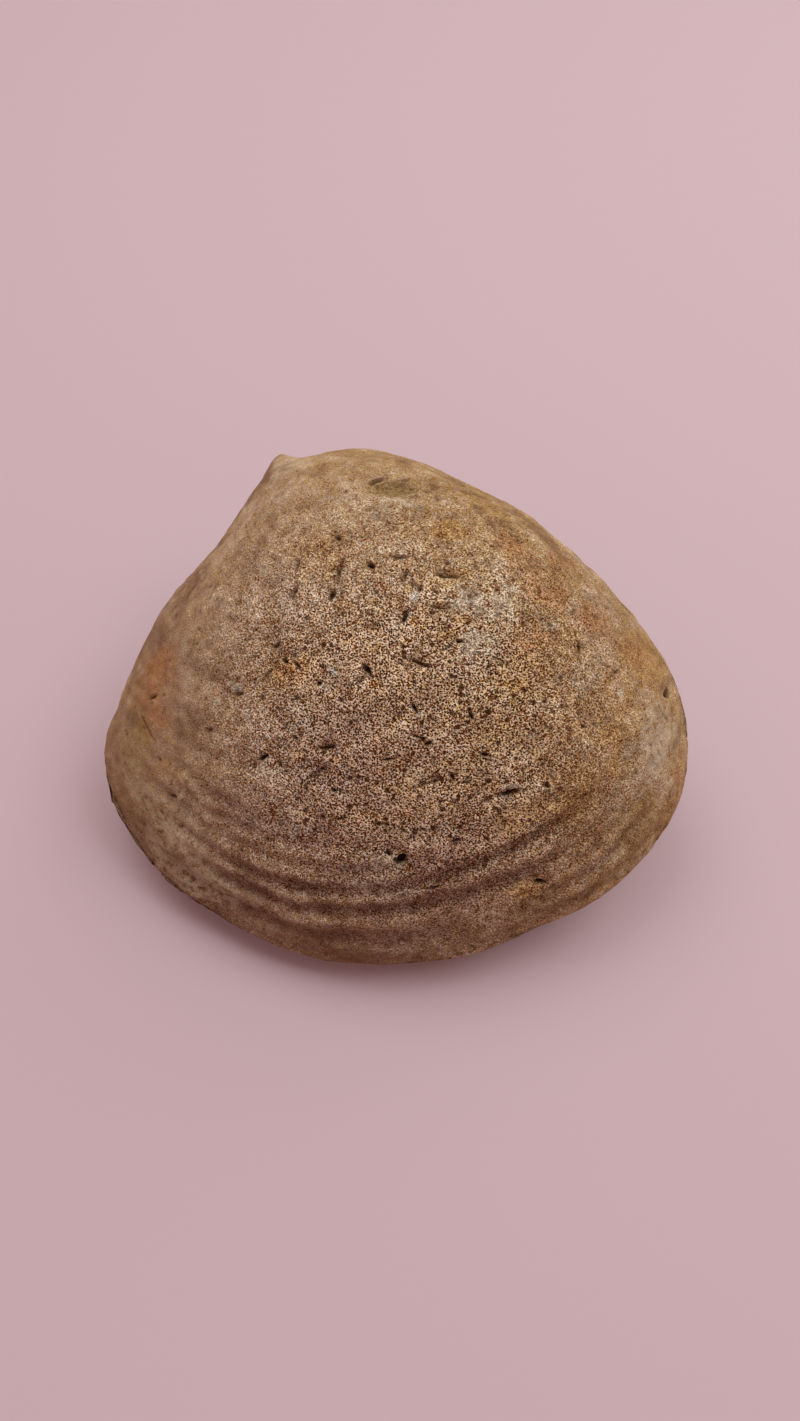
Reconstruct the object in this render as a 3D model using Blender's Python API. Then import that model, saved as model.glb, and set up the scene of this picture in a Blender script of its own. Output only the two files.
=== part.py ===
"""Fossil bivalve: the stone filling of a closed shell, both valves fused into one piece.

The form is worked out in the shell's own frame, in millimetres: x towards the rear end, y towards the
hinge, z out through the upper valve, with the seam between the valves in the plane z = 0. It is then
turned into the way it lies, given a flat resting face and set over the origin, in metres.
"""
import math

import bmesh
import bpy
import numpy as np

NAME = "fossil_bivalve"

# Plan outline of the seam, going clockwise from the beak
OUTLINE = (
    (-12.5, 25.0), (-10.0, 25.0), (-3.0, 26.0), (5.0, 23.0), (14.0, 17.5), (22.0, 9.5), (27.0, 2.5),
    (28.5, -4.5), (27.0, -11.5), (21.5, -18.0), (14.0, -22.5), (5.0, -25.5), (-4.5, -26.0), (-13.0, -24.0),
    (-22.0, -19.0), (-28.0, -12.5), (-30.0, -5.5), (-28.0, 1.5), (-24.5, 9.0), (-18.5, 15.5), (-15.0, 21.5),
)
UMBO = (-8.3, 23.9)

# Each valve: where it is deepest, how deep, and how its section falls to the lower rim and to the hinge
UPPER = {"crest": (4.4, 2.8), "depth": 14.2, "wedge": 0.78, "full": 0.50}
LOWER = {"crest": (1.5, 5.0), "depth": 14.2, "wedge": 0.90, "full": 0.52}

# Growth furrows: place as a share of the way from umbo to rim, depth, half-width, lean, and the turns
# about the umbo, in degrees, between which each one runs
FURROWS = (
    (0.56, 0.07, 0.80, 0.000, -125, -45), (0.655, 0.09, 0.80, 0.000, -120, -45),
    (0.745, 0.15, 0.50, -0.010, -116, -88), (0.78, 0.14, 0.42, -0.010, -112, -92),
    (0.815, 0.17, 0.45, -0.012, -114, -72), (0.855, 0.36, 0.46, -0.016, -106, -52),
    (0.895, 0.38, 0.50, -0.006, -104, -58), (0.915, 0.14, 0.42, 0.000, -62, -42),
    (0.95, 0.36, 0.75, 0.000, -112, -72), (0.955, 0.22, 0.42, -0.010, -68, -46),
    (0.985, 0.20, 0.40, 0.000, -118, -50),
)

# Hinge: hollow between the beaks, the beaks themselves, and the seam round the rim
HOLLOW_DEPTH = 2.2
HOLLOW_WIDTH = 2.4
BEAK = (-11.2, 24.0, 2.6)
BEAK_SIZE = 2.4
BEAK_RISE = 0.9
SEAM_DEPTH = 0.32
SEAM_WIDTH = 0.75

# Dents: x, y, length, width, turn in degrees, depth
UPPER_DENTS = (
    (0.5, 18.5, 3.8, 2.1, -6.0, 0.75), (-4.2, 8.7, 3.4, 1.1, 75.0, 0.45), (3.6, 0.9, 3.2, 1.3, -20.0, 0.35),
    (-1.5, 0.3, 2.2, 1.5, -50.0, 0.45), (-5.2, -6.1, 2.8, 1.2, 8.0, 0.35), (1.2, -15.8, 1.5, 1.5, 70.0, 0.60),
    (0.2, -15.3, 1.3, 1.0, -20.0, 0.50), (3.8, -9.2, 2.6, 0.9, 18.0, 0.40),
    (13.6, -18.0, 1.6, 1.2, -15.0, 0.50), (10.6, -10.3, 2.8, 1.1, 8.0, 0.35),
    (5.6, 8.8, 2.2, 1.0, -5.0, 0.50), (26.4, 0.0, 2.2, 1.4, 60.0, 0.90),
)
LOWER_DENTS = (
    (-9.0, 12.0, 3.6, 2.2, 30.0, 0.50), (8.0, -16.0, 2.4, 1.6, -40.0, 0.50),
    (15.0, 6.0, 3.0, 1.4, 70.0, 0.45), (-16.0, -8.0, 2.6, 1.8, 10.0, 0.50),
    (3.0, 17.0, 2.2, 1.4, 0.0, 0.45), (-20.0, 2.0, 2.0, 1.5, 55.0, 0.40),
)

# Worn unevenness of the stone
SWELL = 0.28
SWELL_SEED = 7

# The way it lies: rim dropped towards -y, front end dropped towards -x, resting face cut this far in
TILT = 22.0
ROLL = 5.0
REST_CUT = 0.9

BALL_SUBDIVISIONS = 7
FACETS = 9300


def smoothstep(low, high, x):
    t = np.clip((x - low) / (high - low), 0.0, 1.0)
    return t * t * (3.0 - 2.0 * t)


def closed_curve(points, steps=24):
    """Smooth closed curve through the points."""
    p = np.array(points, float)
    t = np.linspace(0.0, 1.0, steps, endpoint=False)[:, None]
    spans = []
    for i in range(len(p)):
        a, b, c, d = p[i - 1], p[i], p[(i + 1) % len(p)], p[(i + 2) % len(p)]
        square = (2.0 * a - 5.0 * b + 4.0 * c - d) * t ** 2
        cube = (3.0 * b - 3.0 * c + d - a) * t ** 3
        spans.append(0.5 * (2.0 * b + (c - a) * t + square + cube))
    return np.concatenate(spans)


def reach_table(curve, centre):
    """Distance from a centre out to the curve, against direction."""
    q = curve - np.array(centre)
    turn = np.arctan2(q[:, 1], q[:, 0])
    order = np.argsort(turn)
    steps = np.linspace(-math.pi, math.pi, 1441)
    reach = np.interp(steps, turn[order], np.hypot(q[:, 0], q[:, 1])[order], period=2.0 * math.pi)
    return steps, reach


def eased(reach, spread):
    """The same reach with its corners rounded off over a spread in radians."""
    waves = np.fft.rfft(reach[:-1])
    waves *= np.exp(-0.5 * (np.arange(len(waves)) * spread) ** 2)
    soft = np.fft.irfft(waves, len(reach) - 1)
    return np.append(soft, soft[0])


def valve(ball, side, curve, half):
    """One valve: the unit ball's directions spread over the plan and raised to the valve's depth."""
    steps, reach = reach_table(curve, half["crest"])
    soft = eased(reach, math.radians(16.0))
    turn = np.arctan2(ball[:, 1], ball[:, 0])
    lift = np.abs(ball[:, 2]) ** 0.85
    share = np.sqrt(np.clip(1.0 - lift ** 2, 0.0, 1.0))
    far = np.interp(turn, steps, soft)
    far += (np.interp(turn, steps, reach) - far) * share ** 3
    hinge = smoothstep(-0.55, 0.75, np.sin(turn - math.radians(12.0)))
    power = half["wedge"] + (half["full"] - half["wedge"]) * hinge
    x = half["crest"][0] + share * far * np.cos(turn)
    y = half["crest"][1] + share * far * np.sin(turn)
    return np.stack([x, y, side * half["depth"] * (lift ** 2) ** power], axis=1)


def growth(x, y, curve):
    """How far out each point is between umbo and rim, 0 to 1, and the distance to the rim there."""
    steps, reach = reach_table(curve, UMBO)
    turn = np.arctan2(y - UMBO[1], x - UMBO[0])
    full = np.interp(turn, steps, reach)
    return np.hypot(x - UMBO[0], y - UMBO[1]) / full, full


def furrow_lines(x, y, curve):
    """For each growth furrow: distance from its line in half-widths, and its depth there."""
    share, full = growth(x, y, curve)
    turn = np.degrees(np.arctan2(y - UMBO[1], x - UMBO[0]))
    for place, deep, wide, lean, start, end in FURROWS:
        line = place + lean * (turn + 80.0) / 40.0 + 0.004 * np.sin(turn * 0.16 + place * 40.0)
        run = smoothstep(start - 8.0, start + 8.0, turn) * smoothstep(end + 8.0, end - 8.0, turn)
        yield (share - line) * full / wide, deep * run * smoothstep(16.0, 30.0, full)


def furrows(x, y, curve):
    """Depth of the growth furrows, each between two low ridges."""
    depth = np.zeros(len(x))
    for off, deep in furrow_lines(x, y, curve):
        depth += deep * (np.exp(-0.5 * off ** 2) - 0.35 * np.exp(-0.5 * (np.abs(off) - 2.0) ** 2))
    return depth


def dents(x, y, marks):
    """Depth of the dents, each an oval hollow."""
    depth = np.zeros(len(x))
    for cx, cy, length, width, turn, deep in marks:
        c, s = math.cos(math.radians(turn)), math.sin(math.radians(turn))
        along = ((x - cx) * c + (y - cy) * s) / (0.5 * length)
        across = ((y - cy) * c - (x - cx) * s) / (0.5 * width)
        depth += deep * np.exp(-0.8 * (along ** 2 + across ** 2) ** 1.3)
    return depth


def swell(points, seed=SWELL_SEED):
    """Slow unevenness: a few waves in fixed chance directions."""
    rng = np.random.default_rng(seed)
    total = np.zeros(len(points))
    for length in (31.0, 23.0, 17.0, 13.0, 9.5, 7.0):
        for _ in range(3):
            way = rng.normal(size=3)
            way /= np.linalg.norm(way)
            phase = points @ way * 2.0 * math.pi / length + rng.uniform(0.0, 6.28)
            total += np.sin(phase) * (length / 31.0) ** 0.8
    return total / 3.4


def hollow(points):
    """Depth of the hollow between the beaks: deepest under them, running out along the hinge."""
    turn = np.degrees(np.arctan2(points[:, 1] - 3.0, points[:, 0] - 4.0))
    ahead = smoothstep(152.0, 124.0, turn)
    behind = smoothstep(58.0, 112.0, turn)
    fall = np.exp(-(np.abs(points[:, 2]) / HOLLOW_WIDTH) ** 2.2)
    return HOLLOW_DEPTH * ahead * behind * fall


def seam(points):
    """Depth of the fine groove where the valves meet."""
    drift = 0.25 * np.sin(points[:, 0] * 0.22) + 0.15 * np.sin(points[:, 1] * 0.41 + 1.0)
    return SEAM_DEPTH * np.exp(-0.5 * ((points[:, 2] - drift) / SEAM_WIDTH) ** 2)


def shape(ball):
    """The smooth body of both valves with its hinge, before furrows and dents."""
    curve = closed_curve(OUTLINE)
    upper = valve(ball, 1.0, curve, UPPER)
    lower = valve(ball, -1.0, curve, LOWER)
    points = np.where(ball[:, 2:3] >= 0.0, upper, lower)
    inward = np.stack([4.0 - points[:, 0], 3.0 - points[:, 1]], axis=1)
    inward /= np.maximum(np.linalg.norm(inward, axis=1), 1e-6)[:, None]
    points[:, :2] += inward * hollow(points)[:, None]
    for side in (1.0, -1.0):
        off = points - np.array([BEAK[0], BEAK[1], side * BEAK[2]])
        rise = BEAK_RISE * np.exp(-0.5 * (off ** 2).sum(axis=1) / (0.6 * BEAK_SIZE) ** 2)
        points += rise[:, None] * np.array([-0.35, 0.93, 0.0])
    return points


def relief(points):
    """Depth to take off along the normal: furrows, dents, seam and unevenness."""
    curve = closed_curve(OUTLINE)
    x, y, z = points.T
    upper = smoothstep(-0.5, 0.5, z)
    depth = furrows(x, y, curve) * smoothstep(0.0, 1.5, np.abs(z))
    depth += dents(x, y, UPPER_DENTS) * upper + dents(x, y, LOWER_DENTS) * (1.0 - upper)
    return depth + seam(points) - SWELL * swell(points)


def lying(points):
    """Turns the shell's own frame into the way it lies."""
    t, r = math.radians(TILT), math.radians(ROLL)
    roll = np.array([[math.cos(r), 0, -math.sin(r)], [0, 1, 0], [math.sin(r), 0, math.cos(r)]])
    tilt = np.array([[1, 0, 0], [0, math.cos(t), -math.sin(t)], [0, math.sin(t), math.cos(t)]])
    return points @ (tilt @ roll).T


def positions(mesh):
    flat = np.empty(len(mesh.vertices) * 3)
    mesh.vertices.foreach_get("co", flat)
    return flat.reshape(-1, 3)


def normals(mesh):
    flat = np.empty(len(mesh.vertices) * 3)
    mesh.vertices.foreach_get("normal", flat)
    return flat.reshape(-1, 3)


def move(mesh, points):
    mesh.vertices.foreach_set("co", np.ascontiguousarray(points).ravel())
    mesh.update()


def fine_body():
    """The whole form as a dense even skin, in millimetres, lying as it will lie."""
    bm = bmesh.new()
    bmesh.ops.create_icosphere(bm, subdivisions=BALL_SUBDIVISIONS, radius=1.0)
    mesh = bpy.data.meshes.new(NAME)
    bm.to_mesh(mesh)
    bm.free()
    ball = positions(mesh)
    ball /= np.linalg.norm(ball, axis=1)[:, None]
    move(mesh, shape(ball))
    points = positions(mesh)
    points -= normals(mesh) * relief(points)[:, None]
    move(mesh, lying(points))
    return mesh


def thinned(mesh):
    """The skin brought down to the facets the form needs."""
    body = bpy.data.objects.new("skin", mesh)
    bpy.context.scene.collection.objects.link(body)
    cut = body.modifiers.new("thin", "DECIMATE")
    cut.ratio = FACETS / len(mesh.polygons)
    bpy.context.view_layer.update()
    out = bpy.data.meshes.new_from_object(body.evaluated_get(bpy.context.evaluated_depsgraph_get()))
    bpy.data.objects.remove(body)
    return out


def flatten(mesh, above):
    """Lays everything below the resting plane, and within a hair above it, flat on the plane."""
    points = positions(mesh)
    points[:, 2] = np.where(points[:, 2] < above, 0.0, points[:, 2])
    move(mesh, points)


def set_down(mesh):
    """Moves the body down so that its resting face is z = 0, cut in by REST_CUT."""
    points = positions(mesh)
    points[:, 2] -= points[:, 2].min() + REST_CUT
    move(mesh, points)
    flatten(mesh, 0.0)


def tidied(mesh):
    """Drops needle facets left by the thinning."""
    bm = bmesh.new()
    bm.from_mesh(mesh)
    bmesh.ops.dissolve_degenerate(bm, dist=0.03, edges=bm.edges[:])
    bmesh.ops.triangulate(bm, faces=[f for f in bm.faces if len(f.verts) > 3])
    bmesh.ops.recalc_face_normals(bm, faces=bm.faces[:])
    bm.to_mesh(mesh)
    bm.free()


def over_origin(mesh):
    """Centres the body over the origin and goes to metres."""
    points = positions(mesh)
    low, high = points.min(axis=0), points.max(axis=0)
    points -= np.array([(low[0] + high[0]) / 2.0, (low[1] + high[1]) / 2.0, 0.0])
    move(mesh, points / 1000.0)


def stone():
    """Brown sandstone."""
    material = bpy.data.materials.new("sandstone")
    material.use_nodes = True
    shader = material.node_tree.nodes["Principled BSDF"]
    shader.inputs["Base Color"].default_value = (0.27, 0.17, 0.105, 1.0)
    shader.inputs["Roughness"].default_value = 0.9
    shader.inputs["Metallic"].default_value = 0.0
    return material


def build():
    for old in list(bpy.data.objects):
        bpy.data.objects.remove(old)
    skin = fine_body()
    set_down(skin)
    mesh = thinned(skin)
    flatten(mesh, 0.04)
    tidied(mesh)
    over_origin(mesh)
    mesh.materials.clear()
    mesh.materials.append(stone())
    mesh.shade_smooth()
    mesh.name = NAME
    bpy.context.scene.collection.objects.link(bpy.data.objects.new(NAME, mesh))


build()
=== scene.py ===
"""Fossil bivalve in brown sandstone, lying tilted on its lower valve on a pale pink table.

The stone is worked out in the shell's own frame, in millimetres: x towards the rear end, y towards the
hinge, z out through the upper valve, with the seam between the valves in the plane z = 0.
"""
import itertools
import math

import bmesh
import bpy
import numpy as np
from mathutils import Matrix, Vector, kdtree


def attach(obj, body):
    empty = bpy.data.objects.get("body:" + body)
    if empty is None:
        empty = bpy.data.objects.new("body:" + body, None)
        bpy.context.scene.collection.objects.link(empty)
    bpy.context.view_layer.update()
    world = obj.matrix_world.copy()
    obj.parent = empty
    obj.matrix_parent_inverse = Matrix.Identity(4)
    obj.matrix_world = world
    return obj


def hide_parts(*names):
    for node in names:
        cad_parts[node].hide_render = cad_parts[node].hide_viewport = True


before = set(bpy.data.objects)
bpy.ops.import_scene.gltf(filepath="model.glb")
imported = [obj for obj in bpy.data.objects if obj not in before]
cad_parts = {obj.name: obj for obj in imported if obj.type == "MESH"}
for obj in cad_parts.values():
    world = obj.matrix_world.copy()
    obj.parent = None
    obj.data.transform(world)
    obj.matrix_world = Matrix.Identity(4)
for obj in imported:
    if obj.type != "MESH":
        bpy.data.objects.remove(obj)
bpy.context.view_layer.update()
MM_PER_METRE = 1000.0

# ---------------------------------------------------------------- dimensions

OUTLINE = (
    (-12.5, 25.0), (-10.0, 25.0), (-3.0, 26.0), (5.0, 23.0), (14.0, 17.5), (22.0, 9.5), (27.0, 2.5),
    (28.5, -4.5), (27.0, -11.5), (21.5, -18.0), (14.0, -22.5), (5.0, -25.5), (-4.5, -26.0), (-13.0, -24.0),
    (-22.0, -19.0), (-28.0, -12.5), (-30.0, -5.5), (-28.0, 1.5), (-24.5, 9.0), (-18.5, 15.5), (-15.0, 21.5),
)
UMBO = (-8.3, 23.9)
UPPER = {"crest": (4.4, 2.8), "depth": 14.2, "wedge": 0.78, "full": 0.50}
LOWER = {"crest": (1.5, 5.0), "depth": 14.2, "wedge": 0.90, "full": 0.52}

# Growth furrows: place as a share of the way from umbo to rim, depth, half-width, lean, and the turns
# about the umbo, in degrees, between which each one runs
FURROWS = (
    (0.56, 0.07, 0.80, 0.000, -125, -45), (0.655, 0.09, 0.80, 0.000, -120, -45),
    (0.745, 0.15, 0.50, -0.010, -116, -88), (0.78, 0.14, 0.42, -0.010, -112, -92),
    (0.815, 0.17, 0.45, -0.012, -114, -72), (0.855, 0.36, 0.46, -0.016, -106, -52),
    (0.895, 0.38, 0.50, -0.006, -104, -58), (0.915, 0.14, 0.42, 0.000, -62, -42),
    (0.95, 0.36, 0.75, 0.000, -112, -72), (0.955, 0.22, 0.42, -0.010, -68, -46),
    (0.985, 0.20, 0.40, 0.000, -118, -50),
)
HOLLOW_DEPTH = 2.2
HOLLOW_WIDTH = 2.4
BEAK = (-11.2, 24.0, 2.6)
BEAK_SIZE = 2.4
BEAK_RISE = 0.9
SEAM_DEPTH = 0.32
SEAM_WIDTH = 0.75

# Dents: x, y, length, width, turn in degrees, depth
UPPER_DENTS = (
    (0.5, 18.5, 3.8, 2.1, -6.0, 0.75), (-4.2, 8.7, 3.4, 1.1, 75.0, 0.45), (3.6, 0.9, 3.2, 1.3, -20.0, 0.35),
    (-1.5, 0.3, 2.2, 1.5, -50.0, 0.45), (-5.2, -6.1, 2.8, 1.2, 8.0, 0.35), (1.2, -15.8, 1.5, 1.5, 70.0, 0.60),
    (0.2, -15.3, 1.3, 1.0, -20.0, 0.50), (3.8, -9.2, 2.6, 0.9, 18.0, 0.40),
    (13.6, -18.0, 1.6, 1.2, -15.0, 0.50), (10.6, -10.3, 2.8, 1.1, 8.0, 0.35),
    (5.6, 8.8, 2.2, 1.0, -5.0, 0.50), (26.4, 0.0, 2.2, 1.4, 60.0, 0.90),
)
LOWER_DENTS = (
    (-9.0, 12.0, 3.6, 2.2, 30.0, 0.50), (8.0, -16.0, 2.4, 1.6, -40.0, 0.50),
    (15.0, 6.0, 3.0, 1.4, 70.0, 0.45), (-16.0, -8.0, 2.6, 1.8, 10.0, 0.50),
    (3.0, 17.0, 2.2, 1.4, 0.0, 0.45), (-20.0, 2.0, 2.0, 1.5, 55.0, 0.40),
)
SWELL = 0.28
SWELL_SEED = 7
TILT = 22.0
ROLL = 5.0
REST_CUT = 0.9

# Cells along each edge of the cube that the skin starts from; the upper valve's are halved
SKIN_CELLS = 74

# Share of the seam's groove that stays filled with the stone's own sand
SEAM_FILL = 0.7

# Pits strewn by chance, how narrow the placed ones are, and how ragged all of them are
CHANCE_PITS = 900
CHANCE_PIT_SEED = 11
PIT_NARROWING = 0.66
PIT_WOBBLE = 0.38

# Pits in the upper valve: x, y, length, width, turn in degrees, depth
UPPER_PITS = (
    (-4.3, 12.9, 1.1, 0.7, -30, 0.40), (-1.9, 13.7, 0.9, 0.4, 30, 0.25), (1.3, 10.6, 2.2, 0.5, -5, 0.35),
    (-1.2, 10.0, 1.0, 0.8, -30, 0.60), (-4.1, 9.6, 2.6, 0.6, 72, 0.30), (-4.5, 7.6, 1.4, 0.7, 72, 0.50),
    (-8.0, 10.6, 1.2, 0.5, 70, 0.30), (-8.2, 8.0, 1.3, 0.7, 60, 0.35), (-11.9, 4.7, 0.7, 0.5, 0, 0.30),
    (-9.9, 3.1, 0.9, 0.6, 20, 0.40), (-9.0, 1.6, 0.9, 0.6, -30, 0.45), (-7.7, 1.1, 0.9, 0.6, -40, 0.40),
    (-10.6, 0.7, 1.5, 0.4, 38, 0.30), (-5.8, -0.5, 0.7, 0.6, 0, 0.55), (-1.4, 0.5, 1.6, 0.8, -55, 0.50),
    (-1.9, -0.4, 1.3, 0.7, 50, 0.35), (-0.8, 4.4, 1.2, 0.35, 25, 0.20), (-13.4, -1.0, 0.8, 0.6, 0, 0.35),
    (-16.3, -4.2, 0.8, 0.6, 30, 0.35), (-11.1, -6.9, 1.2, 0.6, 30, 0.65), (-5.2, -6.1, 2.3, 0.55, 8, 0.50),
    (0.4, -7.3, 1.8, 0.4, 8, 0.35), (-6.0, -8.3, 2.2, 0.4, 35, 0.25), (-4.5, -9.9, 0.7, 0.6, 0, 0.40),
    (-4.0, -12.3, 1.4, 0.4, 15, 0.30), (-5.7, -12.2, 0.6, 0.5, 0, 0.30), (2.7, -2.8, 1.1, 0.6, -60, 0.50),
    (1.8, -3.3, 1.1, 0.35, 5, 0.25), (3.0, -5.4, 1.5, 0.4, -20, 0.35), (3.8, -9.2, 2.3, 0.4, 18, 0.35),
    (-9.0, -4.3, 1.2, 0.5, 60, 0.30), (-8.0, -5.2, 0.7, 0.5, -40, 0.35), (8.7, -6.9, 0.8, 0.6, -10, 0.50),
    (3.9, -5.9, 0.9, 0.6, 20, 0.40), (5.9, -8.8, 0.9, 0.8, -50, 0.50), (6.9, -9.3, 1.2, 0.35, -5, 0.30),
    (9.1, -7.4, 1.3, 0.3, -15, 0.22), (10.6, -10.2, 2.3, 0.7, 8, 0.50), (9.0, -10.7, 1.4, 0.35, 28, 0.30),
    (14.1, -9.6, 0.9, 0.7, -10, 0.45), (9.9, -11.7, 0.8, 0.5, 110, 0.40), (4.9, -10.9, 0.6, 0.5, 0, 0.40),
    (6.2, -10.9, 0.9, 0.35, 70, 0.30), (6.1, -14.3, 0.8, 0.7, 20, 0.60), (1.2, -15.8, 1.1, 1.0, 70, 0.75),
    (0.2, -15.3, 0.9, 0.6, -20, 0.50), (3.3, -13.3, 0.6, 0.5, 0, 0.35), (2.2, -17.4, 0.7, 0.5, 0, 0.35),
    (4.2, -18.4, 1.2, 0.5, 25, 0.45), (13.6, -18.0, 1.0, 0.7, -15, 0.60), (13.5, -7.3, 0.7, 0.5, 0, 0.40),
    (3.3, 7.5, 1.0, 0.5, 70, 0.40), (2.0, 8.9, 1.2, 0.5, 60, 0.35), (1.9, 5.0, 2.1, 0.7, 55, 0.45),
    (5.0, 5.8, 2.1, 0.45, -8, 0.40), (5.6, 8.8, 1.9, 0.4, -5, 0.30), (4.6, 7.2, 0.8, 0.35, -45, 0.30),
    (6.7, 2.8, 0.7, 0.6, 0, 0.70), (5.8, 2.3, 1.2, 0.4, 32, 0.35), (3.4, 0.9, 2.4, 0.5, -22, 0.42),
    (1.6, 0.9, 1.1, 0.35, -15, 0.30), (5.6, 10.0, 0.7, 0.5, -30, 0.30), (17.3, 2.8, 1.9, 0.45, 80, 0.40),
    (20.8, 0.9, 0.8, 0.6, 30, 0.45), (26.3, 0.0, 1.4, 0.8, 60, 0.60), (-23.0, -0.7, 1.7, 0.6, 10, 0.40),
    (-20.8, -10.0, 0.9, 0.6, 10, 0.30), (13.0, -3.6, 0.7, 0.5, 0, 0.40), (14.0, -2.3, 0.7, 0.5, 0, 0.35),
    (7.6, -3.6, 1.1, 0.5, -60, 0.45), (17.5, -4.3, 0.6, 0.5, 0, 0.35), (0.0, -12.8, 0.6, 0.5, 0, 0.30),
    (-1.2, 19.25, 2.0, 0.8, 32, 0.34), (0.9, 18.2, 5.2, 2.8, -8, 0.30),
    (-23.5, -3.4, 3.8, 0.60, -52, 0.20), (1.6, 19.4, 1.2, 0.5, 10, 0.25),
)

# Stains on the upper valve: x, y, length, width, turn in degrees, strength
RUST = (
    (12.8, 3.0, 4.4, 3.4, 0, 0.46),
    (11.6, 11.6, 5.0, 2.6, -60, 0.55), (14.6, 8.0, 5.4, 3.8, -30, 0.58), (18.6, 5.6, 4.4, 4.0, -60, 0.80),
    (22.0, 3.6, 4.6, 3.4, -50, 0.60), (15.8, 11.6, 3.0, 3.0, 0, 0.40), (-22.8, 0.6, 7.4, 5.4, 80, 0.84),
    (-22.4, -2.4, 4.8, 3.4, 30, 0.80), (1.0, -6.8, 4.0, 2.5, 0, 0.25), (-8.6, 0.6, 4.0, 2.6, 10, 0.30),
    (21.0, -1.0, 5.0, 2.6, -70, 0.30), (16.0, -5.0, 3.0, 2.0, 0, 0.30), (27.6, -8.0, 5.0, 2.0, 75, 0.60),
)
OCHRE = (
    (-0.6, -12.6, 6.0, 3.0, 0, 0.25),
    (6.3, 7.6, 5.0, 4.4, 0, 0.30),
    (5.8, 13.2, 3.4, 2.4, -10, 0.70), (2.8, 4.5, 1.4, 1.0, -20, 0.75), (6.9, 4.9, 1.5, 1.0, 0, 0.75),
    (2.1, 2.9, 1.3, 0.9, 0, 0.65), (5.3, 3.2, 1.6, 1.0, 10, 0.60), (-0.7, 2.4, 1.2, 0.9, 0, 0.60),
    (5.7, 7.8, 1.6, 1.2, 0, 0.70), (11.4, -1.0, 1.6, 1.0, 0, 0.55), (-0.5, -0.8, 1.4, 1.0, 0, 0.60),
    (-8.6, 0.6, 6.0, 3.6, 10, 0.50), (0.6, -9.0, 5.0, 3.0, 0, 0.25), (-4.4, -7.2, 1.6, 1.2, 0, 0.55),
    (23.4, 3.0, 6.0, 5.0, -55, 0.55), (12.0, -12.0, 10.0, 3.4, 30, 0.35), (12.4, -18.6, 3.6, 1.8, 20, 0.55),
    (17.0, -10.0, 9.0, 4.0, 50, 0.70), (-6.0, 11.4, 6.0, 5.0, 0, 0.25), (-19.2, -8.2, 4.8, 1.8, -6, 0.60),
    (-21.6, -7.2, 2.4, 1.0, 10, 0.50), (19.6, -5.6, 3.0, 1.6, 40, 0.40), (9.0, 17.0, 5.0, 2.0, -30, 0.35),
)
OLIVE_AND_SHADE = (
    (-22.0, -14.0, 14.0, 6.0, -50, 0.40), (-25.0, -2.0, 8.0, 5.0, 90, 0.25),
    # The mark at (0.9, 18.2) over the dent by the hinge is partly its olive and partly painted shade in the
    # dent
    (0.9, 18.2, 5.0, 2.4, -8, 0.95), (-25.0, -5.5, 7.0, 4.0, 70, 0.70), (-27.0, -10.0, 6.0, 3.0, -60, 0.50),
    (8.0, 20.0, 6.0, 3.0, -25, 0.30), (22.0, -14.0, 8.0, 4.0, 50, 0.45), (14.0, -20.0, 6.0, 2.0, 30, 0.30),
)
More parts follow.
